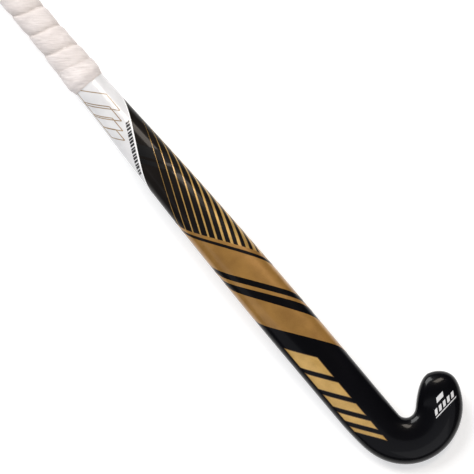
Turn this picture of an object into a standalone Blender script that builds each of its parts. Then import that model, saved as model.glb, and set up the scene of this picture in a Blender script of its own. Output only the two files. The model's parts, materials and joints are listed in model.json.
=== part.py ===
"""Field hockey stick: composite shell, twin cores, head reinforcement, handle plug, butt cap and wound grip.

The stick lies on its playing face, as it rests on the ground: +X points from the butt to the head, +Y to the
toe and +Z out of the rounded back. Every piece is drawn on a straight stick first, where u is the distance
from the base of the head towards the butt, y the offset towards the toe and z the height above the playing
face. lay_down() then adds the bow, and rest_on_ground() sets the stick down.
"""

from math import atan2, cos, pi, sin, sqrt

import bmesh
import bpy
from mathutils import Matrix, Vector

# Overall sizes, in metres.
STICK_LENGTH = 0.927
BLADE_WIDTH = 0.0484
NECK_WIDTH = 0.0327
HANDLE_WIDTH = 0.0270
HEAD_THICKNESS = 0.0205
NECK_THICKNESS = 0.0255
HANDLE_THICKNESS = 0.0245

# Where the blade starts to narrow, where it reaches the neck, and where the round handle starts.
TAPER_START = 0.195
NECK_AT = 0.480
HANDLE_FROM = 0.570
# Share of the way down the taper, and share of the width lost by then.
TAPER_SHAPE = [(0.0, 0.0), (0.28, 0.12), (0.52, 0.305), (0.72, 0.58), (0.88, 0.845), (1.0, 1.0)]

# Cross-section of the blade; it turns into an ellipse between ROUNDING_START and ROUNDING_END.
FACE_CORNER = 0.0052
WIDEST_HEIGHT = 0.0076
BACK_FULLNESS = 2.6
ROUNDING_START = 0.230
ROUNDING_END = 0.560

# The hook of the head: a bend about one centre, with a crook inside and a heel outside, closed by the toe.
CROOK_RADIUS = 0.0090
BEND_ANGLE = 160 * pi / 180
HEEL_THINNING = 0.0024
HEEL_THINS_BEFORE = 0.026
HEEL_THINNED_BY = 0.016
TOE_WIDENS_AT = 110 * pi / 180
TOE_WIDENING = 0.0012
CROOK_OPENS_AT = 120 * pi / 180
CROOK_OPENING = 0.27
TOE_LENGTH = 0.0245
TOE_OUTER_FULLNESS = 3.0

# Bow: straight head, arc, straight handle. The depth is the gap under the face of the lying stick.
BOW_DEPTH = 0.023
BOW_START = 0.060
BOW_END = 0.340

# How far the lying stick rolls to the heel side, because its weight is not over the line from butt to head.
LYING_ROLL = 5.36 * pi / 180

# Walls, layers and clearances.
SHELL_WALL = 0.0024
SLEEVE_WALL = 0.0009
GAP = 0.0003
FACE_PLY = 0.0010
HEEL_STRIP = 0.0012
HEEL_STRIP_BELOW = 0.0028
HEEL_STRIP_ABOVE = 0.0042
CORE_START = 0.082
HEAD_CORE_END = 0.079

# Handle end and grip.
CAP_THICKNESS = 0.0032
CAP_EDGE = 0.0012
STEM_RADIUS = 0.0040
STEM_LENGTH = 0.0100
STEM_END_ROOM = 0.0020
PLUG_LENGTH = 0.055
PLUG_LEAD_IN = 0.0015
BASE_TAPE = 0.0004
GRIP_TAPE = 0.0016
GRIP_TAPE_END = 0.0004
GRIP_THICK_AFTER = 0.030
GRIP_FROM = 0.499
FINISHING_TAPE = 0.0005
FINISHING_TAPE_ON_GRIP = 0.0135
FINISHING_TAPE_ON_SHAFT = 0.0095

# Facets.
CORNER_STEPS = 4
BACK_STEPS = 5
BEND_STEPS = 13
TOE_SHARES = [0.28, 0.52, 0.72, 0.87, 0.96, 0.993]

# Sizes that follow from the ones above.
BEND_OFFSET = CROOK_RADIUS + BLADE_WIDTH / 2
BEND_HEIGHT = BEND_OFFSET + BLADE_WIDTH / 2 - HEEL_THINNING
SHELL_END = STICK_LENGTH - CAP_THICKNESS - GAP
PLUG_BOTTOM = SHELL_END - PLUG_LENGTH
CORE_END = PLUG_BOTTOM - 2 * GAP
BASE_TAPE_OUT = GAP + BASE_TAPE
GRIP_IN = BASE_TAPE_OUT + GAP
GRIP_OUT = GRIP_IN + GRIP_TAPE

MATERIALS = {
    "laminate": ((0.012, 0.012, 0.016), 0.18, 0.0),
    "fibre_sleeve": ((0.05, 0.05, 0.055), 0.45, 0.0),
    "foam": ((0.78, 0.68, 0.42), 0.90, 0.0),
    "aramid": ((0.80, 0.62, 0.14), 0.60, 0.0),
    "plug_plastic": ((0.10, 0.10, 0.11), 0.50, 0.0),
    "cap_rubber": ((0.85, 0.84, 0.82), 0.65, 0.0),
    "base_tape": ((0.72, 0.70, 0.66), 0.70, 0.0),
    "grip_cloth": ((0.86, 0.83, 0.80), 0.85, 0.0),
}


# ---------------------------------------------------------------- shape rules


def smooth_share(value, start, end):
    """0 before start, 1 after end, and an S-curve between."""
    share = min(max((value - start) / (end - start), 0.0), 1.0)
    return share * share * (3 - 2 * share)


def taper_share(u):
    """How much of the width is lost at u, from 0 on the blade to 1 at the neck, along TAPER_SHAPE."""
    share = min(max((u - TAPER_START) / (NECK_AT - TAPER_START), 0.0), 1.0)
    knots = TAPER_SHAPE
    slopes = [0.0]
    for before, after in zip(knots, knots[2:]):
        slopes.append((after[1] - before[1]) / (after[0] - before[0]))
    slopes.append(0.0)
    at = max(i for i in range(len(knots) - 1) if share >= knots[i][0])
    (x0, y0), (x1, y1) = knots[at], knots[at + 1]
    t = (share - x0) / (x1 - x0)
    rise = y0 * (1 + 2 * t) * (1 - t) ** 2 + y1 * t * t * (3 - 2 * t)
    lean = slopes[at] * t * (1 - t) ** 2 - slopes[at + 1] * t * t * (1 - t)
    return rise + lean * (x1 - x0)


def along(u, blade, neck, handle):
    """A size that goes from its blade value to its neck value along the taper, and on to its handle value."""
    size = blade + (neck - blade) * taper_share(u)
    return size + (handle - neck) * smooth_share(u, NECK_AT, HANDLE_FROM)


def bow_slopes():
    """Slope of the face at the head, and how fast it turns, so that head and grip both rest on the ground."""
    arc = BOW_END - BOW_START
    reach = arc * (arc / 2 + STICK_LENGTH - BOW_END)
    a = reach + 2 * STICK_LENGTH * BOW_START
    b = 2 * (STICK_LENGTH * BOW_DEPTH + GRIP_OUT * BOW_START)
    slope = (b + sqrt(b * b - 8 * a * GRIP_OUT * BOW_DEPTH)) / (2 * a)
    return slope, (slope * STICK_LENGTH - GRIP_OUT) / reach


HEAD_SLOPE, BOW_TURN = bow_slopes()


def bow(u):
    """Height of the playing face above the ground at u."""
    in_arc = min(max(u - BOW_START, 0.0), BOW_END - BOW_START)
    past = max(u - BOW_END, 0.0)
    return HEAD_SLOPE * u - BOW_TURN * (in_arc * in_arc / 2 + (BOW_END - BOW_START) * past)


class Station:
    """One cross-section: its centre, its direction in plan, its half widths and its depth."""

    def __init__(self, u, y, turn, heel_half, toe_half, floor, top, roundness):
        self.u = u
        self.y = y
        self.turn = turn
        self.heel_half = heel_half
        self.toe_half = toe_half
        self.floor = floor
        self.top = top
        self.roundness = roundness

    def at(self, across, height):
        """A point of this section on the straight stick. across is positive towards the toe or the crook."""
        return Vector((self.u + across * sin(self.turn), self.y + across * cos(self.turn), height))

    def corner_share(self):
        flat = FACE_CORNER / (BLADE_WIDTH / 2)
        return flat + (1 - flat) * self.roundness

    def widest(self):
        share = WIDEST_HEIGHT / HEAD_THICKNESS
        share += (0.5 - share) * self.roundness
        return self.floor + (self.top - self.floor) * share


def heel_thinning(path):
    """How much the heel side has thinned at a distance along the centre line, counted from the bend's start."""
    return HEEL_THINNING * smooth_share(path, -HEEL_THINS_BEFORE, HEEL_THINNED_BY)


def shaft_station(u):
    half = along(u, BLADE_WIDTH, NECK_WIDTH, HANDLE_WIDTH) / 2
    depth = along(u, HEAD_THICKNESS, NECK_THICKNESS, HANDLE_THICKNESS)
    roundness = smooth_share(u, ROUNDING_START, ROUNDING_END)
    return Station(u, 0.0, 0.0, half - heel_thinning(BEND_HEIGHT - u), half, 0.0, depth, roundness)


def bend_station(turn):
    heel = BLADE_WIDTH / 2 - heel_thinning(BEND_OFFSET * turn)
    heel += TOE_WIDENING * smooth_share(turn, TOE_WIDENS_AT, BEND_ANGLE)
    opened = max(turn - CROOK_OPENS_AT, 0.0)
    crook = BEND_OFFSET - CROOK_RADIUS * (1 + CROOK_OPENING * opened * opened)
    u = BEND_HEIGHT - BEND_OFFSET * sin(turn)
    y = BEND_OFFSET - BEND_OFFSET * cos(turn)
    return Station(u, y, turn, heel, crook, 0.0, HEAD_THICKNESS, 0.0)


def toe_station(share, inset=0.0):
    """A section of the toe, which closes to a line at share 1. inset shortens it, for what lies inside."""
    last = bend_station(BEND_ANGLE)
    out = share * (TOE_LENGTH - inset)
    last.u += out * -cos(BEND_ANGLE)
    last.y += out * sin(BEND_ANGLE)
    widest = last.widest()
    last.heel_half *= sqrt(1 - share**TOE_OUTER_FULLNESS)
    last.toe_half *= sqrt(1 - share)
    last.floor = widest * (1 - sqrt(1 - share**6))
    last.top = widest + (HEAD_THICKNESS - widest) * sqrt(1 - share**TOE_OUTER_FULLNESS)
    return last


def spread(start, end, steps):
    return [start + (end - start) * i / steps for i in range(steps + 1)]


# The cross-sections that every long piece shares, so that their facets lie parallel.
HANDLE_US = [SHELL_END, PLUG_BOTTOM] + spread(CORE_END, HANDLE_FROM, 4)[:-1]
NECK_US = spread(HANDLE_FROM, NECK_AT, 5)
BLADE_US = spread(NECK_AT, TAPER_START, 8)[1:] + spread(TAPER_START, CORE_START, 3)[1:]
HEAD_US = [HEAD_CORE_END, (HEAD_CORE_END + BEND_HEIGHT) / 2]
BEND_TURNS = spread(0.0, BEND_ANGLE, BEND_STEPS)


def profile(station, side, inset=0.0, web=0.0, floor_inset=None):
    """Half a section as (across, height) pairs, from the middle of the face round one side to the middle of the back.

    inset moves the outline inwards. web keeps the half that far from the middle line.
    """
    half = (station.toe_half if side > 0 else station.heel_half) - inset
    floor = station.floor + (inset if floor_inset is None else floor_inset)
    top = station.top - inset
    widest = max(station.widest(), floor)
    corner = max(station.corner_share() * (half + inset) - inset, 0.08 * half)
    points = [(0.0, floor)]
    for i in range(CORNER_STEPS + 1):
        angle = pi / 2 * i / CORNER_STEPS
        points.append((half - corner + corner * sin(angle), widest - (widest - floor) * cos(angle)))
    power = 2 / (BACK_FULLNESS + (2 - BACK_FULLNESS) * station.roundness)
    for i in range(1, BACK_STEPS):
        angle = pi / 2 * i / BACK_STEPS
        points.append((half * cos(angle) ** power, widest + (top - widest) * sin(angle) ** power))
    points.append((0.0, top))
    squeeze = (half - web) / half
    return [(side * (web + across * squeeze), height) for across, height in points]


def ring(station, inset=0.0, floor_inset=None, heel_inset=None):
    """A whole section, once round: up the toe side, down the heel side."""
    heel_inset = inset if heel_inset is None else heel_inset
    toe_side = profile(station, 1, inset, floor_inset=floor_inset)
    heel_side = profile(station, -1, inset, floor_inset=floor_inset)
    narrowed = (station.heel_half - heel_inset) / (station.heel_half - inset)
    heel_side = [(across * narrowed, height) for across, height in heel_side]
    return [station.at(*point) for point in toe_side + heel_side[-2:0:-1]]


def half_ring(station, side, inset, web):
    return [station.at(*point) for point in profile(station, side, inset, web)]


def grown_ring(u, growth):
    """The section of the shaft at u, grown outwards on every side, for what is wound round the handle."""
    return ring(shaft_station(u), -growth)


def round_ring(u, radius):
    """A circle at u on the handle's centre line, point for point in line with the handle's own section."""
    centre = Vector((u, 0.0, HANDLE_THICKNESS / 2))
    return [centre + (point - centre).normalized() * radius for point in grown_ring(u, 0.0)]


# ---------------------------------------------------------------- building


def lay_down(point):
    """From the straight stick to the lying, bowed one, with the butt end at x = 0."""
    return Vector((STICK_LENGTH - point.x, point.y, point.z + bow(point.x)))


def material(name):
    found = bpy.data.materials.get(name)
    if found:
        return found
    colour, roughness, metallic = MATERIALS[name]
    made = bpy.data.materials.new(name)
    made.use_nodes = True
    shader = made.node_tree.nodes["Principled BSDF"]
    shader.inputs["Base Color"].default_value = (*colour, 1.0)
    shader.inputs["Roughness"].default_value = roughness
    shader.inputs["Metallic"].default_value = metallic
    made.diffuse_color = (*colour, 1.0)
    return made


def loft(name, finish, rings, closed_path=False):
    """One solid drawn ring by ring: each loop is extruded to the next. closed_path joins the last to the first."""
    bm = bmesh.new()
    loop = [bm.verts.new(lay_down(p)) for p in rings[0]]
    edges = [bm.edges.new((a, b)) for a, b in zip(loop, loop[1:] + loop[:1])]
    first_edges = list(edges)
    if not closed_path:
        bm.faces.new(loop)
    for points in rings[1:]:
        made = bmesh.ops.extrude_edge_only(bm, edges=edges)["geom"]
        new = {item for item in made if isinstance(item, bmesh.types.BMVert)}
        edges = [item for item in made if isinstance(item, bmesh.types.BMEdge) and set(item.verts) <= new]
        loop = [next(e.other_vert(v) for e in v.link_edges if e.other_vert(v) in new) for v in loop]
        for vertex, point in zip(loop, points):
            vertex.co = lay_down(point)
    if closed_path:
        bmesh.ops.bridge_loops(bm, edges=edges + first_edges)
    else:
        bm.faces.new(loop)
    bmesh.ops.recalc_face_normals(bm, faces=bm.faces[:])
    mesh = bpy.data.meshes.new(name)
    bm.to_mesh(mesh)
    bm.free()
    mesh.shade_smooth()
    mesh.set_sharp_from_angle(angle=35 * pi / 180)
    mesh.materials.append(material(finish))
    piece = bpy.data.objects.new(name, mesh)
    bpy.context.scene.collection.objects.link(piece)
    return piece


def tube(name, finish, outer, inner):
    """A wall between two rows of rings, open at both ends."""
    return loft(name, finish, outer + inner[::-1], closed_path=True)


# ---------------------------------------------------------------- pieces


def laminate_shell():
    """The moulded carbon and glass skin of shaft and head, open at the butt."""
    shaft = [shaft_station(u) for u in HANDLE_US + NECK_US + BLADE_US + HEAD_US]
    bend = [bend_station(turn) for turn in BEND_TURNS]
    outer = [ring(s) for s in shaft + bend]
    outer += [ring(toe_station(share)) for share in TOE_SHARES]
    inner = [ring(s, SHELL_WALL) for s in shaft + bend]
    inner += [cavity_toe_ring(share) for share in TOE_SHARES[:-2]]
    return loft("laminate_shell", "laminate", inner[::-1] + outer)


def cavity_toe_ring(share, inset=SHELL_WALL, floor_inset=None, heel_inset=None):
    """A section of the hollow toe: the toe's own outline, pulled back along its length and in from its sides."""
    return ring(toe_station(share, 2 * inset), inset, floor_inset, heel_inset)


def core_sleeve_and_foam(label, side):
    """One of the two long cores: a braided sleeve with a foam bar inside, with its inner wall on the centre line."""
    us = [u for u in HANDLE_US + NECK_US + BLADE_US if u <= CORE_END]
    stations = [shaft_station(u) for u in us]
    inset = SHELL_WALL + GAP
    web = GAP / 2
    outer = [half_ring(s, side, inset, web) for s in stations]
    inner = [half_ring(s, side, inset + SLEEVE_WALL, web + SLEEVE_WALL) for s in stations]
    tube(label + "_core_sleeve", "fibre_sleeve", outer, inner)
    inset += SLEEVE_WALL + GAP
    web += SLEEVE_WALL + GAP
    loft(label + "_foam_core", "foam", [half_ring(s, side, inset, web) for s in stations])


def head_stations():
    return [shaft_station(u) for u in HEAD_US] + [bend_station(turn) for turn in BEND_TURNS]


def head_core():
    """The foam block that fills the hook, over the face ply and inside the heel strip."""
    inset = SHELL_WALL + GAP
    floor = inset + FACE_PLY + GAP
    heel = inset + HEEL_STRIP + GAP
    rings = [ring(s, inset, floor, heel) for s in head_stations()]
    rings += [cavity_toe_ring(share, inset, floor, heel) for share in TOE_SHARES[:3]]
    return loft("head_foam_core", "foam", rings)


def face_reinforcement():
    """A flat aramid and carbon ply behind the hitting area of the face."""
    bottom = SHELL_WALL + GAP
    rings = []
    for s in head_stations():
        margin = SHELL_WALL + GAP + s.corner_share() * s.heel_half / 2
        low, high = -(s.heel_half - margin), s.toe_half - margin
        corners = [(low, bottom), (high, bottom), (high, bottom + FACE_PLY), (low, bottom + FACE_PLY)]
        rings.append([s.at(*corner) for corner in corners])
    return loft("face_reinforcement", "aramid", rings)


def half_width_inside(station, height, inset):
    """How far the cavity reaches from the middle line at a height, on the heel side, over the widest height."""
    half = station.heel_half - inset
    widest = station.widest()
    top = station.top - inset
    if height >= widest:
        share = (height - widest) / (top - widest)
        return half * (1 - share**BACK_FULLNESS) ** (1 / BACK_FULLNESS)
    corner = max(station.corner_share() * station.heel_half - inset, 0.08 * half)
    share = (widest - height) / (widest - station.floor - inset)
    return half - corner + corner * sqrt(1 - share * share)


def heel_reinforcement():
    """The aramid strip that follows the outer edge of the hook, from the shaft round the heel to the toe."""
    rings = []
    inset = SHELL_WALL + 2 * GAP
    for s in head_stations():
        heights = [s.widest() - HEEL_STRIP_BELOW, s.widest(), s.widest() + HEEL_STRIP_ABOVE]
        outside = [(half_width_inside(s, z, inset), z) for z in heights]
        inside = [(across - HEEL_STRIP + GAP, z) for across, z in outside[::-1]]
        rings.append([s.at(-across, z) for across, z in outside + inside])
    return loft("heel_reinforcement", "aramid", rings)


def handle_plug():
    """The moulded plug glued into the open end, with a blind hole for the cap's stem."""
    fit = SHELL_WALL + GAP
    hole = STEM_RADIUS + GAP
    rings = [
        round_ring(SHELL_END - STEM_LENGTH - STEM_END_ROOM, hole),
        round_ring(SHELL_END, hole),
        grown_ring(SHELL_END, -fit),
        grown_ring(PLUG_BOTTOM + PLUG_LEAD_IN, -fit),
        grown_ring(PLUG_BOTTOM, -fit - PLUG_LEAD_IN),
    ]
    return loft("handle_plug", "plug_plastic", rings)


def butt_cap():
    """The cap over the butt, held by its stem in the plug."""
    under = STICK_LENGTH - CAP_THICKNESS
    rings = [
        round_ring(under - STEM_LENGTH, STEM_RADIUS),
        round_ring(under, STEM_RADIUS),
        grown_ring(under, BASE_TAPE_OUT),
        grown_ring(STICK_LENGTH - CAP_EDGE, BASE_TAPE_OUT),
        grown_ring(STICK_LENGTH, BASE_TAPE_OUT - CAP_EDGE),
    ]
    return loft("butt_cap", "cap_rubber", rings)


def grip_growth(u):
    """How far the grip stands out of the shaft at u: its tape is stretched thin where it ends."""
    share = smooth_share(u, GRIP_FROM, GRIP_FROM + GRIP_THICK_AFTER)
    return GRIP_IN + GRIP_TAPE_END + (GRIP_TAPE - GRIP_TAPE_END) * share


def wound_us(start):
    """Where the layers round the handle have their rings: the shell's own stations past start."""
    return [SHELL_END] + [u for u in HANDLE_US[1:] + NECK_US if u > start + 2 * GAP] + [start]


def grip_base_tape():
    """The thin adhesive tape under the grip."""
    us = wound_us(GRIP_FROM + GRIP_TAPE)
    outer = [grown_ring(u, BASE_TAPE_OUT) for u in us]
    inner = [grown_ring(u, GAP) for u in us]
    return tube("grip_base_tape", "base_tape", outer, inner)


def grip_tape():
    """The white cushion tape, wound in a spiral, here as the sleeve that its turns make."""
    us = wound_us(GRIP_FROM)
    us[0] = STICK_LENGTH - CAP_EDGE
    outer = [grown_ring(u, grip_growth(u)) for u in us]
    inner = [grown_ring(u, GRIP_IN) for u in us]
    return tube("grip_tape", "grip_cloth", outer, inner)


def finishing_tape():
    """The tape that ends the grip: over its lower edge, then down onto the shaft."""
    over = grip_growth(GRIP_FROM) + GAP
    upper = GRIP_FROM + FINISHING_TAPE_ON_GRIP
    steps = [
        (upper, grip_growth(upper) + GAP),
        (GRIP_FROM - GAP, over),
        (GRIP_FROM - GRIP_TAPE, over / 2),
        (GRIP_FROM - FINISHING_TAPE_ON_SHAFT, GAP),
    ]
    outer = [grown_ring(u, growth + FINISHING_TAPE) for u, growth in steps]
    inner = [grown_ring(u, growth) for u, growth in steps]
    return tube("finishing_tape", "grip_cloth", outer, inner)


def lowest(points):
    return min(points, key=lambda point: point.z)


def rest_on_ground():
    """Parents every piece to one empty, which rolls the stick over, then tips it until head and butt both touch
    the ground, and puts the middle of its box over the origin.
    """
    pieces = list(bpy.context.scene.objects)
    turn = Matrix.Rotation(LYING_ROLL, 4, "X")
    points = [turn @ v.co for piece in pieces for v in piece.data.vertices]
    at_head = lowest(p for p in points if p.x > STICK_LENGTH / 2)
    at_butt = lowest(p for p in points if p.x < STICK_LENGTH / 2)
    tip = atan2(at_head.z - at_butt.z, at_head.x - at_butt.x)
    tipping = Matrix.Rotation(tip, 4, "Y")
    points = [tipping @ point for point in points]
    low = Vector(min(p[i] for p in points) for i in range(3))
    high = Vector(max(p[i] for p in points) for i in range(3))
    frame = bpy.data.objects.new("stick_frame", None)
    bpy.context.scene.collection.objects.link(frame)
    frame.rotation_euler = (LYING_ROLL, tip, 0.0)
    frame.location = (-(low.x + high.x) / 2, -(low.y + high.y) / 2, -low.z)
    for piece in pieces:
        piece.parent = frame


def main():
    for old in list(bpy.data.objects):
        bpy.data.objects.remove(old)
    laminate_shell()
    core_sleeve_and_foam("toe_side", 1)
    core_sleeve_and_foam("heel_side", -1)
    head_core()
    face_reinforcement()
    heel_reinforcement()
    handle_plug()
    butt_cap()
    grip_base_tape()
    grip_tape()
    finishing_tape()
    rest_on_ground()


main()
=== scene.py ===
"""Field hockey stick: lacquered composite shaft and head with printed bands, and a wound cushion grip."""

import json
from math import atan2, ceil, cos, exp, pi, radians, sin

import bmesh
import bpy
from mathutils import Matrix, Vector, noise
from mathutils.bvhtree import BVHTree


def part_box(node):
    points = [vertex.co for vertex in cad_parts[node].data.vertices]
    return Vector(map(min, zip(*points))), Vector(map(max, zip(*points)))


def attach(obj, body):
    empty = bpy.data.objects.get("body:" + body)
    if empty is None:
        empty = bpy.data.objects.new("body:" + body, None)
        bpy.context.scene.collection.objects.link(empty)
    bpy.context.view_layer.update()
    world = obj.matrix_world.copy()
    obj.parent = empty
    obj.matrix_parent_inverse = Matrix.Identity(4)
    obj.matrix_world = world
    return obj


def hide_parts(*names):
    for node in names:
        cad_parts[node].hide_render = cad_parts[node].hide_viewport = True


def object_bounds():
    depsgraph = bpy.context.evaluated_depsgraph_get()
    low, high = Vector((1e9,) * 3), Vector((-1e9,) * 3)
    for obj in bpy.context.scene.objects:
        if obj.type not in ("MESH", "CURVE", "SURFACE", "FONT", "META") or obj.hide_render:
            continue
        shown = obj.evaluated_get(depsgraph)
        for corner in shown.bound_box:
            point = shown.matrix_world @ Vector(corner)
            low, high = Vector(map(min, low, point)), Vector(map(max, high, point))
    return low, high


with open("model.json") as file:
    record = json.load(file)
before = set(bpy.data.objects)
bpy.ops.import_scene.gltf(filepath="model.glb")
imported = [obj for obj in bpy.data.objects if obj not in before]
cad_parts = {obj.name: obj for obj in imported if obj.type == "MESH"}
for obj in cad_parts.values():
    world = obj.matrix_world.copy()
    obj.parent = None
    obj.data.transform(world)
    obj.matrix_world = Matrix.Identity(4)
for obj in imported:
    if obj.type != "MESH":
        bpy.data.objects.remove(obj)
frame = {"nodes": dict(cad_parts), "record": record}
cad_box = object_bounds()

# ---------------------------------------------------------------- foam cores
# Two bars of rigid foam run down the shaft and a block of it fills the hook. They are cut from sheet, with
# open cells on every face, and the laminate is moulded over them.


def new_finish(name, colour, roughness):
    """A material and its Principled shader."""
    made = bpy.data.materials.new(name)
    made.use_nodes = True
    shader = made.node_tree.nodes["Principled BSDF"]
    shader.inputs["Base Color"].default_value = (*colour, 1.0)
    shader.inputs["Roughness"].default_value = roughness
    return made, shader


def add(tree, kind, settings, **options):
    """A node with its options set, and each input set to a value or linked to an output."""
    made = tree.nodes.new(kind)
    for option, value in options.items():
        setattr(made, option, value)
    for name, value in settings.items():
        if isinstance(value, bpy.types.NodeSocket):
            tree.links.new(value, made.inputs[name])
        else:
            made.inputs[name].default_value = value
    return made


def place_on_object(tree):
    return add(tree, "ShaderNodeTexCoord", {}).outputs["Object"]


def mottle(tree, place, scale, detail=2.0):
    """A patchy pattern from 0 to 1. scale is about how many patches there are to a metre."""
    settings = {"Vector": place, "Scale": scale, "Detail": detail}
    return add(tree, "ShaderNodeTexNoise", settings).outputs["Fac"]


def waves(tree, place, scale, distortion=0.0, **options):
    """A row of soft ridges from 0 to 1."""
    settings = {"Vector": place, "Scale": scale, "Distortion": distortion}
    return add(tree, "ShaderNodeTexWave", settings, **options).outputs["Fac"]


def turned_by(tree, place, angle):
    return add(tree, "ShaderNodeMapping", {"Vector": place, "Rotation": (0.0, 0.0, angle)}).outputs["Vector"]


def combined(tree, first, second, operation):
    return add(tree, "ShaderNodeMath", {0: first, 1: second}, operation=operation).outputs["Value"]


def shade_between(tree, share, dark, light, low=0.0, high=1.0):
    """A colour that goes from dark to light as share goes from low to high."""
    ramp = add(tree, "ShaderNodeValToRGB", {"Fac": share})
    ramp.color_ramp.elements[0].position = low
    ramp.color_ramp.elements[0].color = (*dark, 1.0)
    ramp.color_ramp.elements[1].position = high
    ramp.color_ramp.elements[1].color = (*light, 1.0)
    return ramp.outputs["Color"]


def value_between(tree, share, low, high):
    """A number that goes from low to high as share goes from 0 to 1."""
    spread = add(tree, "ShaderNodeMapRange", {"Value": share, "To Min": low, "To Max": high})
    return spread.outputs["Result"]


def raise_by(tree, shader, height, distance, strength=1.0, over=None):
    """Bumps the shader by a height pattern. over is a bump that this one adds to."""
    settings = {"Height": height, "Distance": distance, "Strength": strength}
    if over:
        settings["Normal"] = over
    bump = add(tree, "ShaderNodeBump", settings).outputs["Normal"]
    tree.links.new(bump, shader.inputs["Normal"])
    return bump


def rigid_foam():
    made, shader = new_finish("rigid_foam", (0.78, 0.68, 0.42), 0.9)
    tree = made.node_tree
    place = place_on_object(tree)
    cells = add(tree, "ShaderNodeTexVoronoi", {"Vector": place, "Scale": 1400.0}).outputs["Distance"]
    stain = mottle(tree, place, 60.0, 4.0)
    colour = shade_between(tree, stain, (0.66, 0.55, 0.30), (0.85, 0.76, 0.52), 0.3, 0.7)
    tree.links.new(colour, shader.inputs["Base Color"])
    raise_by(tree, shader, cells, 0.0004, 0.8)
    return made


def recoat(name, finish):
    """Gives a CAD node its finish."""
    slots = frame["nodes"][name].data.materials
    slots.clear()
    slots.append(finish)


foam = rigid_foam()
for core in ("toe_side_foam_core", "heel_side_foam_core", "head_foam_core"):
    recoat(core, foam)

# ---------------------------------------------------------------- core sleeves
# A braided carbon sock is drawn over each long core. Where the two lie side by side they form a web down
# the middle of the shaft. The braid is bare, with a little resin in it.


def braided_carbon():
    made, shader = new_finish("braided_carbon", (0.03, 0.03, 0.034), 0.42)
    tree = made.node_tree
    place = place_on_object(tree)
    tow, crossing_tow = (waves(tree, turned_by(tree, place, lean * pi / 4), 95.0) for lean in (1, -1))
    over = combined(tree, tow, crossing_tow, "MAXIMUM")
    colour = shade_between(tree, over, (0.008, 0.008, 0.010), (0.060, 0.060, 0.068))
    tree.links.new(colour, shader.inputs["Base Color"])
    tree.links.new(value_between(tree, over, 0.55, 0.32), shader.inputs["Roughness"])
    raise_by(tree, shader, over, 0.0003, 0.7)
    return made


braid = braided_carbon()
for sleeve in ("toe_side_core_sleeve", "heel_side_core_sleeve"):
    recoat(sleeve, braid)

# ---------------------------------------------------------------- head reinforcements
# A ply of yellow aramid lies behind the hitting area of the face, and a strip of it follows the outer edge
# of the hook, where the stick scrapes the ground. Both are twill cloth set in clear resin.


def aramid_twill():
    made, shader = new_finish("aramid_twill", (0.78, 0.60, 0.13), 0.5)
    tree = made.node_tree
    place = place_on_object(tree)
    rib = waves(tree, turned_by(tree, place, pi / 3), 160.0)
    yarn = mottle(tree, place, 900.0, 3.0)
    both = combined(tree, rib, yarn, "MULTIPLY")
    colour = shade_between(tree, both, (0.50, 0.34, 0.05), (0.86, 0.70, 0.20), 0.1, 0.6)
    tree.links.new(colour, shader.inputs["Base Color"])
    raise_by(tree, shader, both, 0.0002, 0.7)
    return made


twill = aramid_twill()
for ply in ("face_reinforcement", "heel_reinforcement"):
    recoat(ply, twill)

# ---------------------------------------------------------------- shell
# The laminate of carbon and glass is moulded in one piece round shaft and hook, open at the butt. It is
# sprayed black, and clear lacquer goes over it and the printed bands. The face is flat and the back domed.

SHARP_EDGE = radians(50)
TINT_CHANGES = (0.02, 0.28)


def rejoined_copy(node):
    """A CAD node's mesh, closed again, with its triangles joined into the four-sided faces they were."""
    bm = bmesh.new()
    bm.from_mesh(frame["nodes"][node].data)
    bmesh.ops.remove_doubles(bm, verts=bm.verts, dist=0.00002)
    bmesh.ops.join_triangles(
        bm, faces=bm.faces, angle_face_threshold=0.7, angle_shape_threshold=pi, topology_influence=1.0
    )
    return bm


def piece_from(bm, name, finish, sharp=radians(40)):
    """The object that a finished bmesh becomes, riding on the stick's one body."""
    mesh = bpy.data.meshes.new(name)
    bm.to_mesh(mesh)
    bm.free()
    mesh.shade_smooth()
    mesh.set_sharp_from_angle(angle=sharp)
    mesh.materials.append(finish)
    piece = bpy.data.objects.new(name, mesh)
    bpy.context.scene.collection.objects.link(piece)
    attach(piece, "root")
    return piece


def rounded(piece, levels):
    smoother = piece.modifiers.new("rounding", "SUBSURF")
    smoother.levels = levels
    smoother.render_levels = levels


def black_lacquer():
    """Black under gloss lacquer, lighter and a little brown towards the handle, darker and a little blue
    towards the head.
    """
    made, shader = new_finish("black_lacquer", (0.0045, 0.0045, 0.0060), 0.32)
    tree = made.node_tree
    place = place_on_object(tree)
    cloud = mottle(tree, place, 18.0, 5.0)
    grain = mottle(tree, place, 2600.0)
    along = add(tree, "ShaderNodeSeparateXYZ", {"Vector": place}).outputs["X"]
    blade = {"Value": along, "From Min": TINT_CHANGES[0], "From Max": TINT_CHANGES[1]}
    to_head = add(tree, "ShaderNodeMapRange", blade).outputs["Result"]
    handle_end = shade_between(tree, cloud, (0.0060, 0.0048, 0.0040), (0.0120, 0.0098, 0.0084), 0.35, 0.65)
    head_end = shade_between(tree, cloud, (0.0012, 0.0012, 0.0020), (0.0024, 0.0023, 0.0036), 0.35, 0.65)
    tint = add(tree, "ShaderNodeMix", {"Factor": to_head}, data_type="RGBA", clamp_factor=True)
    tree.links.new(handle_end, tint.inputs["A"])
    tree.links.new(head_end, tint.inputs["B"])
    tree.links.new(tint.outputs["Result"], shader.inputs["Base Color"])
    tree.links.new(value_between(tree, cloud, 0.26, 0.38), shader.inputs["Roughness"])
    raise_by(tree, shader, grain, 0.00002, 0.15)
    shader.inputs["Specular IOR Level"].default_value = 0.06
    shader.inputs["Coat Weight"].default_value = 0.45
    shader.inputs["Coat Roughness"].default_value = 0.10
    shader.inputs["Coat IOR"].default_value = 1.35
    return made


def crease_sharp_edges(bm):
    crease = bm.edges.layers.float.new("crease_edge")
    for edge in bm.edges:
        if edge.calc_face_angle(0.0) > SHARP_EDGE:
            edge[crease] = 1.0


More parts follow.
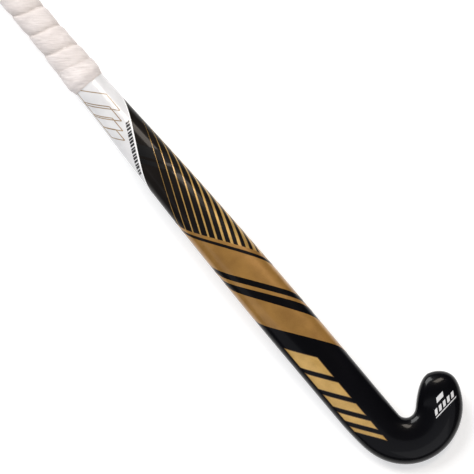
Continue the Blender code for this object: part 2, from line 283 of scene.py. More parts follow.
bm = rejoined_copy("laminate_shell")
crease_sharp_edges(bm)
shell = piece_from(bm, "lacquered_shell", black_lacquer(), sharp=radians(80))
rounded(shell, 2)
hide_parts("laminate_shell")
bpy.context.view_layer.update()

# ---------------------------------------------------------------- handle plug
# A plug is glued into the open end of the handle, and has a hole for the stem of the cap. It is moulded in
# nylon, dull black with a fine grain.


def moulded_nylon():
    made, shader = new_finish("moulded_nylon", (0.06, 0.06, 0.065), 0.5)
    tree = made.node_tree
    place = place_on_object(tree)
    grain = mottle(tree, place, 1500.0, 3.0)
    cloud = mottle(tree, place, 120.0)
    colour = shade_between(tree, cloud, (0.045, 0.045, 0.050), (0.075, 0.075, 0.080), 0.3, 0.7)
    tree.links.new(colour, shader.inputs["Base Color"])
    raise_by(tree, shader, grain, 0.0001, 0.4)
    return made


recoat("handle_plug", moulded_nylon())

# ---------------------------------------------------------------- white panel
# Above a slanting line the shaft is printed white, all round and up under the grip. The print is a transfer
# film, laid on the black and lacquered over.

base_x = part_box("laminate_shell")[1].x
face_axis = next(m["axis"] for m in frame["record"]["mounts"] if m["name"] == "playing_face")
along_stick = Vector((1.0, 0.0, 0.0))
out_of_back = -Vector((0.0, face_axis[1], face_axis[2])).normalized()
to_toe = out_of_back.cross(along_stick)
cap_low, cap_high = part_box("butt_cap")
centre_line = (cap_low + cap_high).dot(to_toe) / 2

# Places on the stick are given by u, the distance up from the base of the head, and across, the distance over
# the surface from the middle of the back, which is positive on the toe side. The shell is measured at
# stations, and a place that is counted in stations stops just short of the last one.
STATION_STEP = 0.004
FIRST_STATION = 0.049
QUARTER = 26
RAYS = 180
RAY_START = 0.034
WELL_CLEAR = 0.2
SHORT_OF_THE_END = 0.001
JUST_SHORT = 0.001
FILM = 0.00006
FILM_THICK = FILM * 1.3
FILM_STEP = 0.0013
BAND_STEP = 0.003
SAME_POINT = 0.000002

shell_surface = BVHTree.FromObject(shell, bpy.context.evaluated_depsgraph_get())


def hit(start, direction):
    """Where a line first meets the shell."""
    return shell_surface.ray_cast(start, direction)[0]


def section_points(u):
    """The shell's outline, u from the base of the head, and its lengths.

    The points go from the middle of the back by the toe side, the face and the heel side, with the same
    number in each quarter. The lengths are of a quarter on the back and of one on the face.
    """
    axis = along_stick * (base_x - u) + to_toe * centre_line
    top = hit(axis + out_of_back * WELL_CLEAR, -out_of_back)
    bottom = hit(axis - out_of_back * WELL_CLEAR, out_of_back)
    middle = (top + bottom) / 2
    outline = []
    for i in range(RAYS + 1):
        angle = 2 * pi * (i % RAYS) / RAYS
        away = out_of_back * cos(angle) + to_toe * sin(angle)
        outline.append(hit(middle + away * RAY_START, -away))
    run = [0.0]
    for before, after in zip(outline, outline[1:]):
        run.append(run[-1] + (after - before).length)
    toe_edge = run[max(range(RAYS), key=lambda i: outline[i].dot(to_toe))]
    heel_edge = run[min(range(RAYS), key=lambda i: outline[i].dot(to_toe))]
    half_way = (toe_edge + heel_edge) / 2
    marks = [0.0, toe_edge, half_way, heel_edge, run[-1]]
    points = []
    at = 0
    for start, end in zip(marks, marks[1:]):
        for step in range(QUARTER):
            reach = start + (end - start) * step / QUARTER
            while run[at + 1] < reach:
                at += 1
            share = (reach - run[at]) / (run[at + 1] - run[at])
            points.append(outline[at].lerp(outline[at + 1], share))
    return points, (toe_edge + run[-1] - heel_edge) / 2, (heel_edge - toe_edge) / 2


shell_end = base_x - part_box("laminate_shell")[0].x
station_count = int((shell_end - SHORT_OF_THE_END - FIRST_STATION) / STATION_STEP)
stations = [section_points(FIRST_STATION + STATION_STEP * i) for i in range(station_count + 1)]
last_place = station_count - JUST_SHORT


def at_station(u):
    """The station below u, and how far u is on the way to the next."""
    place = min(max((u - FIRST_STATION) / STATION_STEP, 0.0), last_place)
    return int(place), place - int(place)


def on_shell(u, quarters, lift):
    """A point on the shaft, a number of quarters round from the middle of the back, and lifted off it."""
    row, along = at_station(u)
    place = (quarters % 4) * QUARTER
    column = int(place)
    round_share = place - column
    around = 4 * QUARTER
    low, high = stations[row][0], stations[row + 1][0]
    a, b = low[column % around], low[(column + 1) % around]
    c, d = high[column % around], high[(column + 1) % around]
    point = a.lerp(b, round_share).lerp(c.lerp(d, round_share), along)
    before, after = low[(column - 1) % around], low[(column + 2) % around]
    outward = (a - c).cross(after - before).normalized()
    stretch = u - (FIRST_STATION + STATION_STEP * (row + along))
    return point - along_stick * stretch + outward * lift


def quarters_at(u, across):
    """How many quarters round a point is. across is measured over the surface from the back's middle."""
    row, along = at_station(u)
    back = stations[row][1] * (1 - along) + stations[row + 1][1] * along
    face = stations[row][2] * (1 - along) + stations[row + 1][2] * along
    if abs(across) <= back:
        return across / back
    beyond = 1 + (abs(across) - back) / face
    return beyond if across > 0 else -beyond


def ring_line(middle, lean, quarters):
    """The u of a slanting line round the stick, which crosses the back at middle and returns on the face."""
    share = quarters if quarters < 1 else (2 - quarters if quarters < 3 else quarters - 4)
    u = middle
    for _ in range(3):
        row, _ = at_station(u)
        u = middle + lean * share * stations[row][1]
    return u


def film_ring(bm, low, high, lift=FILM):
    """A band all round between two slanting lines, each given as (where it crosses the middle, lean)."""
    around = 4 * QUARTER
    depth = max(2, ceil(abs(high[0] - low[0]) / BAND_STEP))
    grid = bmesh.ops.create_grid(bm, x_segments=around, y_segments=depth, size=0.5)["verts"]
    for vertex in grid:
        quarters = (vertex.co.x + 0.5) * 4
        share = vertex.co.y + 0.5
        bottom = ring_line(*low, quarters)
        top = ring_line(*high, quarters)
        vertex.co = on_shell(bottom + (top - bottom) * share, quarters, lift)


def film_patch(bm, corners, lift=FILM, place=None):
    """A four-cornered patch of film. Each corner is (u, across)."""
    place = place or (lambda u, across, up: on_shell(u, quarters_at(u, across), up))
    a, b, c, d = (Vector(corner) for corner in corners)
    steps_one = max(1, ceil(max((b - a).length, (c - d).length) / FILM_STEP))
    steps_two = max(1, ceil(max((d - a).length, (c - b).length) / FILM_STEP))
    grid = bmesh.ops.create_grid(bm, x_segments=steps_one, y_segments=steps_two, size=0.5)["verts"]
    for vertex in grid:
        one, two = vertex.co.x + 0.5, vertex.co.y + 0.5
        flat = a.lerp(b, one).lerp(d.lerp(c, one), two)
        vertex.co = place(flat.x, flat.y, lift)


def axis_point(point):
    """The point level with this one on the line down the middle of the handle."""
    return along_stick * point.x + to_toe * centre_line


def film_piece(bm, name, finish):
    """Gives the film a thickness towards the shell, and makes it a piece."""
    bmesh.ops.remove_doubles(bm, verts=bm.verts, dist=SAME_POINT)
    facing_out = 0.0
    for face in bm.faces:
        middle = face.calc_center_median()
        facing_out += face.normal.dot(middle - axis_point(middle))
    if facing_out > 0:
        bmesh.ops.reverse_faces(bm, faces=bm.faces)
    bmesh.ops.solidify(bm, geom=bm.faces[:], thickness=FILM_THICK)
    bmesh.ops.recalc_face_normals(bm, faces=bm.faces)
    piece = piece_from(bm, name, finish)
    return piece


def lacquered_print(name, dark, light, roughness, flake=0.0, metallic=0.0):
    """Printed colour under clear lacquer: cloudy at the size of a finger, with fine flake in metal inks."""
    made, shader = new_finish(name, light, roughness)
    tree = made.node_tree
    place = place_on_object(tree)
    cloud = mottle(tree, place, 55.0, 4.0)
    fleck = mottle(tree, place, 2400.0)
    mixed = combined(tree, cloud, value_between(tree, fleck, -flake, flake), "ADD")
    colour = shade_between(tree, mixed, dark, light, 0.32, 0.68)
    tree.links.new(colour, shader.inputs["Base Color"])
    raise_by(tree, shader, fleck, 0.00002, 0.2)
    shader.inputs["Metallic"].default_value = metallic
    shader.inputs["Coat Weight"].default_value = 0.5
    shader.inputs["Coat Roughness"].default_value = 0.05
    return made


PANEL_EDGE = (0.4205, 1.88)
PANEL_TOP = (0.5000, 0.0)
PANEL_BORDER = 0.0024
white_print = lacquered_print("white_print", (0.65, 0.65, 0.66), (0.73, 0.73, 0.74), 0.35)
bm = bmesh.new()
film_ring(bm, PANEL_EDGE, PANEL_TOP)
film_piece(bm, "white_panel", white_print)
bright_white = lacquered_print("bright_white", (0.90, 0.90, 0.90), (0.94, 0.94, 0.94), 0.35)
bm = bmesh.new()
film_ring(bm, PANEL_EDGE, (PANEL_EDGE[0] + PANEL_BORDER, PANEL_EDGE[1]), FILM * 2)
film_piece(bm, "white_panel_border", bright_white)

# ---------------------------------------------------------------- panel outlines
# Slanting frames in a fine bronze line overlap like links down the white panel, each smaller than the last.
# They are printed in one colour, and each is given by its upper corner, height, left side and right side.

OUTLINE_WIDTH = 0.0009
OUTLINE_LEAN = -1.1
OUTLINES = [
    (0.4965, 0.0205, -0.0165, 0.0065),
    (0.4800, 0.0180, -0.0172, 0.0010),
    (0.4650, 0.0160, -0.0177, -0.0040),
    (0.4500, 0.0135, -0.0182, -0.0085),
]


def film_stroke(bm, start, end, width_at_start, width_at_end, lift):
    """A straight printed line between two (u, across) points."""
    run = Vector(end) - Vector(start)
    side = Vector((-run.y, run.x)).normalized()
    a, b = Vector(start), Vector(end)
    one, two = side * width_at_start / 2, side * width_at_end / 2
    film_patch(bm, [a - one, b - two, b + two, a + one], lift)


bronze_line = lacquered_print("bronze_line", (0.24, 0.165, 0.095), (0.36, 0.26, 0.16), 0.35)
bm = bmesh.new()
for top, height, left, right in OUTLINES:
    fall = OUTLINE_LEAN * (right - left)
    corners = [(top, left), (top - height, left), (top - height + fall, right), (top + fall, right)]
    for start, end in zip(corners, corners[1:] + corners[:1]):
        film_stroke(bm, start, end, OUTLINE_WIDTH, OUTLINE_WIDTH, FILM * 2)
film_piece(bm, "panel_outlines", bronze_line)

# ---------------------------------------------------------------- panel ticks
# A row of short black bars runs along the slanting edge of the white panel. Their widths vary in a fixed
# rhythm, and each bar stands across the stick.

TICK_COUNT = 17
TICKS_FROM, TICKS_TO = -0.0176, 0.0080
TICK_BASE, TICK_HEIGHT = 0.0038, 0.0046
TICK_SHARES = [0.78, 0.60, 0.82, 0.55, 0.70]

black_print = lacquered_print("black_print", (0.010, 0.010, 0.012), (0.018, 0.018, 0.020), 0.3)
tick_pitch = (TICKS_TO - TICKS_FROM) / TICK_COUNT
bm = bmesh.new()
for i in range(TICK_COUNT):
    left = TICKS_FROM + i * tick_pitch
    right = left + TICK_SHARES[i % len(TICK_SHARES)] * tick_pitch
    corners = []
    for across, fall in ((left, 0.0), (right, 0.0), (right, TICK_HEIGHT), (left, TICK_HEIGHT)):
        corners.append((PANEL_EDGE[0] + PANEL_EDGE[1] * across + TICK_BASE, across - fall))
    film_patch(bm, corners, FILM * 2)
film_piece(bm, "panel_ticks", black_print)

# ---------------------------------------------------------------- shadow stripes
# Two stripes of flat black ink cross the gloss below the white panel. They are printed over the lacquer,
# and show only where light falls on them.

STRIPE_EDGES = [(0.3960, 0.4138), (0.3842, 0.3915)]
STRIPE_LEAN = -1.43
STRIPE_END = 0.0210
STRIPE_TO_PANEL = 0.0004


def flat_ink():
    made, shader = new_finish("flat_black_ink", (0.0016, 0.0016, 0.0020), 0.5)
    tree = made.node_tree
    place = place_on_object(tree)
    cloud = mottle(tree, place, 300.0, 4.0)
    colour = shade_between(tree, cloud, (0.0010, 0.0010, 0.0014), (0.0026, 0.0026, 0.0032), 0.3, 0.7)
    tree.links.new(colour, shader.inputs["Base Color"])
    raise_by(tree, shader, cloud, 0.00003, 0.2)
    shader.inputs["Specular IOR Level"].default_value = 0.2
    return made


bm = bmesh.new()
for low, high in STRIPE_EDGES:
    corners = []
    for edge in (low, high):
        start = (edge - PANEL_EDGE[0]) / (PANEL_EDGE[1] - STRIPE_LEAN)
        ends = [(edge + STRIPE_LEAN * across, across) for across in (start + STRIPE_TO_PANEL, STRIPE_END)]
        corners += ends if edge == low else ends[::-1]
    film_patch(bm, corners, FILM * 0.5)
film_piece(bm, "shadow_stripes", flat_ink())

# ---------------------------------------------------------------- gold bands
# Two broad bands, a stripe and an edge line slant round the shaft in satin gold ink. Each is given by its
# lower and upper edge: where the edge crosses the middle of the back, and how steeply it leans.

GOLD_BANDS = {
    "gold_band_lower": ((0.1750, -1.39), (0.2143, -1.50)),
    "gold_stripe": ((0.2274, -1.40), (0.2334, -1.42)),
    "gold_band_upper": ((0.2428, -1.42), (0.2835, -1.50)),
    "gold_edge_line": ((0.2886, -1.48), (0.2940, -1.46)),
}

satin_gold = lacquered_print(
    "satin_gold", (0.27, 0.135, 0.029), (0.385, 0.200, 0.046), 0.36, flake=0.35, metallic=0.35
)
for name, (low, high) in GOLD_BANDS.items():
    bm = bmesh.new()
    film_ring(bm, low, high)
    film_piece(bm, name, satin_gold)

# ---------------------------------------------------------------- gold lines
# A fan of fine gold lines climbs from the edge line over the toe side of the shaft. The lines grow thicker
# towards the toe side, and each runs out to a point.

LINE_COUNT = 14
LINE_LEAN = 2.33
FIRST_LINE = 0.3850
LINE_PITCH = 0.01675
LINE_WIDTHS = (0.00038, 0.00031)
LINE_TIP = 0.022
LINE_TIP_SHARE = 0.15
LINE_INTO_EDGE = 0.0015
FIRST_LINE_TOP, LINE_TOP_STEP, LAST_LINE_TOP = 0.0190, 0.0040, 0.0400

line_gold = lacquered_print(
    "line_gold", (0.40, 0.235, 0.062), (0.56, 0.345, 0.102), 0.34, flake=0.35, metallic=0.35
)
bright_gold = lacquered_print(
    "bright_gold", (0.50, 0.300, 0.080), (0.70, 0.440, 0.135), 0.34, flake=0.35, metallic=0.35
)
edge_middle, edge_lean = GOLD_BANDS["gold_edge_line"][1]
bm = bmesh.new()
for i in range(LINE_COUNT):
    crossing = FIRST_LINE - LINE_PITCH * i
    foot = (edge_middle - LINE_INTO_EDGE - crossing) / (LINE_LEAN - edge_lean)
    top = min(FIRST_LINE_TOP + LINE_TOP_STEP * i, LAST_LINE_TOP)
    knee = top - LINE_TIP / LINE_LEAN
    width = LINE_WIDTHS[0] + LINE_WIDTHS[1] * i
    if foot < knee:
        points = [(crossing + LINE_LEAN * across, across) for across in (foot, knee, top)]
        film_stroke(bm, points[0], points[1], width, width, FILM)
        film_stroke(bm, points[1], points[2], width, width * LINE_TIP_SHARE, FILM)
film_piece(bm, "gold_lines", line_gold)

# ---------------------------------------------------------------- gold bars
# Five slanting bars, each thinner than the last, are printed along the heel side of the back, in bright gold
# on a darker border.

BAR_HEIGHTS = [0.023, 0.018, 0.0135, 0.0095, 0.0055]
BAR_GAP = 0.0085
BARS_TOP = 0.1735
BAR_LEFT, BAR_RIGHT = -0.0196, -0.0012
BAR_LEAN = -1.42
BAR_BORDER = 0.0006

dark_gold = lacquered_print("dark_gold", (0.11, 0.060, 0.018), (0.17, 0.095, 0.030), 0.36, flake=0.2)


def bar_corners(top, height, border):
    corners = []
    slope = border * (1 + BAR_LEAN**2) ** 0.5
    for across, level in (
        (BAR_LEFT - border, top - height - slope),
        (BAR_RIGHT + border, top - height - slope),
        (BAR_RIGHT + border, top + slope),
        (BAR_LEFT - border, top + slope),
    ):
        corners.append((level + BAR_LEAN * (across - BAR_LEFT), across))
    return corners


bars, borders = bmesh.new(), bmesh.new()
level = BARS_TOP
for height in BAR_HEIGHTS:
    film_patch(borders, bar_corners(level, height, BAR_BORDER), FILM)
    film_patch(bars, bar_corners(level, height, 0.0), FILM * 2)
    level -= height + BAR_GAP
film_piece(borders, "gold_bar_borders", dark_gold)
film_piece(bars, "gold_bars", bright_gold)

# ---------------------------------------------------------------- toe mark
# A small white mark is printed on the back of the toe: a row of slanting bars over a fine line, with a short
# bar above.

MARK_BASE, MARK_HEIGHT = 0.0310, 0.0050
MARK_LEFT, MARK_PITCH, MARK_BAR = 0.0500, 0.0056, 0.0034
MARK_COUNT = 5
MARK_SLANT = 0.0030
MARK_RISE = 0.12
MARK_LINE_WIDTH, MARK_LINE_BELOW, MARK_LINE_LEFT = 0.0010, 0.0022, 0.0010
TOP_BAR_LENGTH, TOP_BAR_HEIGHT = 0.0090, 0.0045
TOP_BAR_RIGHT, TOP_BAR_UP = 0.0090, 0.0075


def on_head(u, across, lift):
    """A point on the domed back of the head, straight above its place in plan."""
    start = along_stick * (base_x - u) + to_toe * (centre_line + across) + out_of_back * WELL_CLEAR
    place, normal, _, _ = shell_surface.ray_cast(start, -out_of_back)
    return place + normal * lift


def mark_bar(bm, left, width, base, height):
    corners = []
    for across, up in ((left, 0), (left + width, 0), (left + width, height), (left, height)):
        leaned = across + MARK_SLANT * up / MARK_HEIGHT
        corners.append((base + up + MARK_RISE * (across - MARK_LEFT), leaned))
    film_patch(bm, corners, FILM, on_head)


bm = bmesh.new()
for i in range(MARK_COUNT):
    mark_bar(bm, MARK_LEFT + i * MARK_PITCH, MARK_BAR, MARK_BASE, MARK_HEIGHT)
line_length = MARK_COUNT * MARK_PITCH
mark_bar(bm, MARK_LEFT - MARK_LINE_LEFT, line_length, MARK_BASE - MARK_LINE_BELOW, MARK_LINE_WIDTH)
mark_bar(bm, MARK_LEFT + TOP_BAR_RIGHT, TOP_BAR_LENGTH, MARK_BASE + TOP_BAR_UP, TOP_BAR_HEIGHT)
film_piece(bm, "toe_mark", white_print)

# ---------------------------------------------------------------- butt cap
# The cap is moulded in pale rubber and pushed into the plug by its stem. Its end has a rounded rim and a
# shallow dish with a sloping edge.

CAP_ROUNDING = 0.0007
CAP_INSETS = (0.0030, 0.0012)
CAP_DISH_DEPTH = 0.0006


def pale_rubber():
    made, shader = new_finish("pale_rubber", (0.46, 0.44, 0.43), 0.6)
    tree = made.node_tree
    place = place_on_object(tree)
    grain = mottle(tree, place, 1800.0, 3.0)
    scuff = mottle(tree, place, 140.0, 6.0)
    colour = shade_between(tree, scuff, (0.34, 0.325, 0.31), (0.46, 0.44, 0.43), 0.32, 0.55)
    tree.links.new(colour, shader.inputs["Base Color"])
    raise_by(tree, shader, grain, 0.0001, 0.35)
    return made


bm = rejoined_copy("butt_cap")
bmesh.ops.dissolve_limit(bm, angle_limit=0.01, verts=bm.verts, edges=bm.edges)
end_face = min(bm.faces, key=lambda f: f.calc_center_median().x)
for inset in CAP_INSETS:
    bmesh.ops.inset_region(bm, faces=[end_face], thickness=inset)
bmesh.ops.translate(bm, verts=end_face.verts, vec=along_stick * CAP_DISH_DEPTH)
rim = [e for e in bm.edges if e.calc_face_angle(0.0) > SHARP_EDGE / 2]
bmesh.ops.bevel(
    bm,
    geom=rim,
    offset=CAP_ROUNDING,
    affect="EDGES",
    segments=3,
    profile=0.5,
    material=-1,
    clamp_overlap=True,
)
bmesh.ops.recalc_face_normals(bm, faces=bm.faces)
cap = piece_from(bm, "rubber_butt_cap", pale_rubber())
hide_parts("butt_cap")

# ---------------------------------------------------------------- base tape
# A thin tape of crinkled cloth, sticky on both sides, is wound on the bare handle first. It holds the grip,
# which covers it all over.


def adhesive_tape():
    made, shader = new_finish("adhesive_tape", (0.66, 0.63, 0.58), 0.7)
    tree = made.node_tree
    place = place_on_object(tree)
    crepe = waves(tree, place, 220.0, 3.0)
    colour = shade_between(tree, crepe, (0.58, 0.55, 0.49), (0.70, 0.67, 0.62))
    tree.links.new(colour, shader.inputs["Base Color"])
    raise_by(tree, shader, crepe, 0.0001, 0.5)
    return made


recoat("grip_base_tape", adhesive_tape())

# ---------------------------------------------------------------- grip
# A cushion tape of off-white cloth over foam is wound from the butt down to the neck, each turn a little over
# the last, so that the handle is a row of soft pillows with a crease between them.

GRIP_FOOT, GRIP_FULL = 0.0006, 0.00140
GRIP_CLIMB = 0.016
GRIP_STANDS_OFF = 0.00095
GRIP_RADIUS = 0.016
WIND_PITCH = 0.0243
WIND_PHASE = 0.0215
WIND_UNEVEN = 0.0016
UNEVEN_ALONG, UNEVEN_ROUND = 22, 0.7
CREASE_DEPTH = 0.0014
CREASE_AT_FOOT = 0.2
CREASE_SHARP_SIDE, CREASE_SOFT_SIDE = 0.0011, 0.0050
GRIP_RING_STEP = 0.0010
GRIP_AROUND = 96
LUMP_SIZE, LUMP = 0.011, 0.00038
WRINKLE_SIZE, WRINKLE = 0.0038, 0.00024
WEAVE_SIZE = 0.0012
CLOTH_RADIUS = 0.0165
CLOTH_LEAN = 0.25

grip_low = base_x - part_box("grip_tape")[1].x
grip_high = base_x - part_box("grip_tape")[0].x


def loft(bm, rings):
    """A wall through closed rings of points, each extruded to the next and the last joined to the first."""
    loop = [bm.verts.new(point) for point in rings[0]]
    edges = [bm.edges.new(pair) for pair in zip(loop, loop[1:] + loop[:1])]
    first = list(edges)
    for points in rings[1:]:
        made = bmesh.ops.extrude_edge_only(bm, edges=edges)["geom"]
        fresh = {item for item in made if isinstance(item, bmesh.types.BMVert)}
        edges = [e for e in made if isinstance(e, bmesh.types.BMEdge) and fresh.issuperset(e.verts)]
        loop = [next(e.other_vert(v) for e in v.link_edges if e.other_vert(v) in fresh) for v in loop]
        for vertex, point in zip(loop, points):
            vertex.co = point
    bmesh.ops.bridge_loops(bm, edges=edges + first)
    bmesh.ops.recalc_face_normals(bm, faces=bm.faces)


def wind_place(u, quarters):
    """How far u is above the crease below it, in metres, at that place round the handle."""
    around = quarters * pi / 2
    place = Vector((u * UNEVEN_ALONG, UNEVEN_ROUND * cos(around), UNEVEN_ROUND * sin(around)))
    uneven = WIND_UNEVEN * noise.noise(place)
    return (u - WIND_PHASE + uneven + WIND_PITCH * quarters / 4) % WIND_PITCH


def crease_share(u, quarters):
    """1 at the bottom of a crease and 0 away from it. The turn on top ends at the crease's lower side."""
    above = wind_place(u, quarters)
    below = WIND_PITCH - above
    return max(exp(-above / CREASE_SOFT_SIDE), exp(-below / CREASE_SHARP_SIDE))


def wrinkle(u, quarters, size, strength, pull=0.0):
    """Uneven height with no seam round the handle. pull makes the wrinkles run along the tape."""
    around = quarters * pi / 2
    radius = GRIP_RADIUS / size
    place = Vector((u / size + pull * sin(around), radius * cos(around), radius * sin(around)))
    return strength * noise.noise(place)


def grip_height(u, quarters):
    """How far the cloth stands off the shell: less at the grip's foot, which the closing tape presses."""
    climb = min(max((u - grip_low) / GRIP_CLIMB, 0.0), 1.0)
    full = GRIP_FOOT + (GRIP_FULL - GRIP_FOOT) * climb
    lump = wrinkle(u, quarters, LUMP_SIZE, LUMP) + wrinkle(u, quarters, WRINKLE_SIZE, WRINKLE, pull=2.0)
    depth = CREASE_DEPTH * crease_share(u, quarters) * (CREASE_AT_FOOT + (1 - CREASE_AT_FOOT) * climb)
    return GRIP_STANDS_OFF + full + lump * climb - depth


def cushion_cloth():
    """Off-white cloth in a diagonal weave, slightly fuzzy, darkened in the creases by painted shade with a
    little soil.
    """
    made, shader = new_finish("cushion_cloth", (0.80, 0.75, 0.73), 0.85)
    tree = made.node_tree
    flat = add(tree, "ShaderNodeUVMap", {}, uv_map="wound").outputs["UV"]
    bias = turned_by(tree, flat, -pi / 4)
    drawn_out = add(tree, "ShaderNodeMapping", {"Vector": bias, "Scale": (1.0, 0.09, 1.0)})
    strands = mottle(tree, drawn_out.outputs["Vector"], 0.85, 3.0)
    rib = waves(tree, bias, 0.42, 1.2)
    weft = waves(tree, bias, 0.42, 1.2, bands_direction="Y")
    weave = combined(tree, rib, weft, "MULTIPLY")
    soil = mottle(tree, place_on_object(tree), 45.0, 4.0)
    crease = add(tree, "ShaderNodeAttribute", {}, attribute_name="crease").outputs["Fac"]
    clean = shade_between(tree, soil, (0.75, 0.690, 0.67), (0.81, 0.755, 0.74), 0.3, 0.65)
    woven = add(tree, "ShaderNodeMix", {"B": (0.57, 0.51, 0.485, 1.0)}, data_type="RGBA")
    tree.links.new(clean, woven.inputs["A"])
    tree.links.new(value_between(tree, strands, 0.75, -0.35), woven.inputs["Factor"])
    # Painted shade, with a little soil, darkens the cloth in the creases.
    shaded_and_soiled = add(tree, "ShaderNodeMix", {"B": (0.40, 0.34, 0.30, 1.0)}, data_type="RGBA")
    tree.links.new(woven.outputs["Result"], shaded_and_soiled.inputs["A"])
    tree.links.new(value_between(tree, crease, 0.0, 0.55), shaded_and_soiled.inputs["Factor"])
    tree.links.new(shaded_and_soiled.outputs["Result"], shader.inputs["Base Color"])
    over = raise_by(tree, shader, strands, 0.0009, 0.6)
    raise_by(tree, shader, weave, 0.0003, 0.5, over)
    shader.inputs["Sheen Weight"].default_value = 0.2
    shader.inputs["Sheen Roughness"].default_value = 0.5
    return made


rounds = [4 * i / GRIP_AROUND for i in range(GRIP_AROUND)]


def turn_at(point):
    """The angle round the handle from the middle of the back."""
    row, _ = at_station(base_x - point.x)
    away = point - (stations[row][0][0] + stations[row][0][2 * QUARTER]) / 2
    return atan2(away.dot(to_toe), away.dot(out_of_back))


def lay_cloth(bm, painted_shade_by):
    """The cloth's own map, in threads, and how much painted shade, with a little soil, each point takes in a
    crease or at the tape's foot.
    """
    wound = bm.loops.layers.uv.new("wound")
    painted_crease_shade = bm.verts.layers.float.new("crease")
    turns = {vertex: turn_at(vertex.co) for vertex in bm.verts}
    for vertex, turn in turns.items():
        vertex[painted_crease_shade] = painted_shade_by(base_x - vertex.co.x, (turn * 2 / pi) % 4)
    for face in bm.faces:
        first = turns[face.loops[0].vert]
        for loop in face.loops:
            turn = turns[loop.vert]
            turn += 2 * pi * round((first - turn) / (2 * pi))
            u = base_x - loop.vert.co.x
            girth = turn * CLOTH_RADIUS
            loop[wound].uv = ((girth + u * CLOTH_LEAN) / WEAVE_SIZE, (u - girth * CLOTH_LEAN) / WEAVE_SIZE)


def sleeve_rings(low, high, step, height, inner_height):
    """Rings of a closed sleeve on the shell: up its outside from low to high and back down its inside.

    low, high and the two heights are functions of the place round the handle.
    """
    outside = ceil((high(0) - low(0)) / step)
    inside = max(4, outside // 12)
    rings = []
    for shares, raised in (
        ([i / outside for i in range(outside + 1)], height),
        ([i / inside for i in range(inside, -1, -1)], inner_height),
    ):
        for share in shares:
            ring = []
            for quarters in rounds:
                u = low(quarters) + (high(quarters) - low(quarters)) * share
                ring.append(on_shell(u, quarters, raised(u, quarters)))
            rings.append(ring)
    return rings


bm = bmesh.new()
grip_rings = sleeve_rings(
    low=lambda quarters: grip_low,
    high=lambda quarters: grip_high,
    step=GRIP_RING_STEP,
    height=grip_height,
    inner_height=lambda u, quarters: GRIP_STANDS_OFF,
)
loft(bm, grip_rings)
lay_cloth(bm, crease_share)
cloth = cushion_cloth()
grip = piece_from(bm, "cushion_grip", cloth, sharp=radians(60))
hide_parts("grip_tape")

# ---------------------------------------------------------------- finishing tape
# Two turns of thin white tape close the lower end of the grip. They are pulled tight over its edge and down
# onto the lacquer, so the tape is drawn into small folds.

TAPE_THICK = 0.0004
TAPE_RAISED = TAPE_THICK * 0.4
TAPE_RING_STEP = 0.0006
TAPE_TOP_SLANT = 0.0044
TAPE_RIM, TAPE_SHOULDER = 0.00025, 0.0100
TAPE_ON_GRIP = 0.00255
TAPE_FOOT_UP, TAPE_FOOT_WAVE, TAPE_FOOT_WAVES = 0.0007, 0.0006, 2.4
TAPE_SINK, TAPE_SINKS_FROM, TAPE_SINKS_OVER = 0.00045, 0.013, 0.010
FOLD_SIZE, FOLD, FOLD_AT_RIM = 0.0045, 0.00030, 0.35
PUCKER_SIZE, PUCKER = 0.0018, 0.00012
TAPE_LEAST = 0.0002
TAPE_OVER_LACQUER = 0.00008
# How far up from its foot the tape is darkened by painted shade with a little soil.
TAPE_FOOT_SHADE_AND_SOIL = 0.0032

tape_low = base_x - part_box("finishing_tape")[1].x
tape_high = base_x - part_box("finishing_tape")[0].x


def tape_top(quarters):
    return tape_high - TAPE_TOP_SLANT * sin(quarters * pi / 2)


def tape_foot(quarters):
    around = quarters * pi / 2
    place = Vector((1.0, TAPE_FOOT_WAVES * cos(around), TAPE_FOOT_WAVES * sin(around)))
    return tape_low + TAPE_FOOT_UP + TAPE_FOOT_WAVE * noise.noise(place)


def tape_height(u, quarters):
    """The outside of the tape: a rim on the lacquer, a shoulder over the grip's edge, and the turns above."""
    climb = min(max((u - tape_low) / TAPE_SHOULDER, 0.0), 1.0)
    rise = climb * climb * (3 - 2 * climb)
    sunk = TAPE_SINK * min(max((u - tape_low - TAPE_SINKS_FROM) / TAPE_SINKS_OVER, 0.0), 1.0)
    folds = wrinkle(u, quarters, FOLD_SIZE, FOLD, pull=3.0) * (FOLD_AT_RIM + rise)
    folds += wrinkle(u, quarters, PUCKER_SIZE, PUCKER)
    return max(TAPE_RIM + (TAPE_ON_GRIP - TAPE_RIM) * rise - sunk + folds, TAPE_LEAST) + TAPE_RAISED


def tape_underside(u, quarters):
    return max(tape_height(u, quarters) - TAPE_THICK, TAPE_OVER_LACQUER)


bm = bmesh.new()
loft(bm, sleeve_rings(tape_foot, tape_top, TAPE_RING_STEP, tape_height, tape_underside))
# The tape is darkened at its foot, where it meets the lacquer, by painted shade with a little soil.
lay_cloth(bm, lambda u, quarters: max(0.0, 1 - (u - tape_low) / TAPE_FOOT_SHADE_AND_SOIL))
tape = piece_from(bm, "closing_tape_turns", cloth, sharp=radians(60))
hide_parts("finishing_tape")

# ---------------------------------------------------------------- floor
# A wide sheet of plain white paper lies under the stick. It gives off some light of its own, so that it stays
# white and the stick's shadow on it is faint.

FLOOR_SIZE = 6.0
FLOOR_BELOW = 0.0005

bm = bmesh.new()
bmesh.ops.create_grid(bm, x_segments=1, y_segments=1, size=FLOOR_SIZE)
bmesh.ops.translate(bm, verts=bm.verts, vec=(0.0, 0.0, cad_box[0].z - FLOOR_BELOW))
mesh = bpy.data.meshes.new("floor")
bm.to_mesh(mesh)
bm.free()
floor = bpy.data.objects.new("floor", mesh)
bpy.context.scene.collection.objects.link(floor)
paper, paper_shader = new_finish("white_paper", (0.60, 0.60, 0.60), 0.9)
paper_shader.inputs["Specular IOR Level"].default_value = 0.1
paper_shader.inputs["Emission Color"].default_value = (1.0, 1.0, 1.0, 1.0)
paper_shader.inputs["Emission Strength"].default_value = 0.52
mesh.materials.append(paper)

# ---------------------------------------------------------------- light
# Two large softboxes beyond the ends of the stick light it without showing in the shaft. A small one over the
# toe side gives the lacquer its streak, and a dim card below shows in it as a soft sheen.

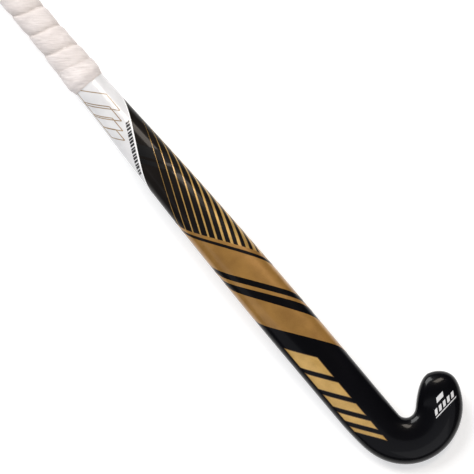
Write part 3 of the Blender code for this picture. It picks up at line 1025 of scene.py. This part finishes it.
VIEW_TURN = radians(50)
MIDDLE_UP_STICK, MIDDLE_TO_TOE, MIDDLE_HEIGHT = 0.2857, 0.0144, 0.028
right = along_stick * cos(VIEW_TURN) + to_toe * sin(VIEW_TURN)
up = to_toe * cos(VIEW_TURN) - along_stick * sin(VIEW_TURN)
view_middle = along_stick * (base_x - MIDDLE_UP_STICK) + to_toe * (centre_line + MIDDLE_TO_TOE)
view_middle += out_of_back * MIDDLE_HEIGHT


def softbox(name, offset, size, radiance, level, colour=(1.0, 1.0, 1.0)):
    """A light that faces the middle of the view, with its width along the given direction."""
    data = bpy.data.lights.new(name, "AREA")
    data.shape = "RECTANGLE"
    data.size, data.size_y = size
    data.energy = radiance * pi * size[0] * size[1]
    data.color = colour
    light = bpy.data.objects.new(name, data)
    bpy.context.scene.collection.objects.link(light)
    back = offset.normalized()
    width = (level - back * level.dot(back)).normalized()
    light.location = view_middle + offset
    light.rotation_euler = Matrix((width, back.cross(width), back)).transposed().to_euler()


softbox(
    "butt_side",
    offset=along_stick * -3.7 + to_toe * 0.2 + out_of_back * 2.8,
    size=(3.0, 3.0),
    radiance=9.5,
    level=to_toe,
)
softbox(
    "head_side",
    offset=along_stick * 2.6 - to_toe * 0.3 + out_of_back * 2.0,
    size=(2.0, 2.0),
    radiance=0.6,
    level=to_toe,
)
softbox(
    "streak",
    offset=along_stick * -0.48 + to_toe * 1.16 + out_of_back * 2.2,
    size=(0.65, 1.0),
    radiance=10.0,
    level=along_stick,
    colour=(1.0, 0.9, 0.8),
)
softbox(
    "card",
    offset=right * 0.5 - up * 1.75 + out_of_back * 2.0,
    size=(5.0, 2.5),
    radiance=0.6,
    level=right,
    colour=(0.9, 0.92, 1.0),
)

world = bpy.data.worlds.new("studio")
bpy.context.scene.world = world
world.use_nodes = True
sky = world.node_tree.nodes["Background"]
sky.inputs["Color"].default_value = (1.0, 1.0, 1.0, 1.0)
sky.inputs["Strength"].default_value = 0.09

# ---------------------------------------------------------------- camera
# It looks straight at the rounded back from far off, so that the nearer parts look no larger. It is turned to
# bring the hook to the lower right.

VIEW_WIDTH = 0.4558
LENS = 500.0
SENSOR = 36.0

camera_data = bpy.data.cameras.new("camera")
camera_data.lens = LENS
camera_data.sensor_width = SENSOR
camera = bpy.data.objects.new("camera", camera_data)
bpy.context.scene.collection.objects.link(camera)
camera.location = view_middle + out_of_back * (VIEW_WIDTH * LENS / SENSOR)
camera.rotation_euler = Matrix((right, up, out_of_back)).transposed().to_euler()
bpy.context.scene.camera = camera
bpy.context.scene.view_settings.view_transform = "Standard"
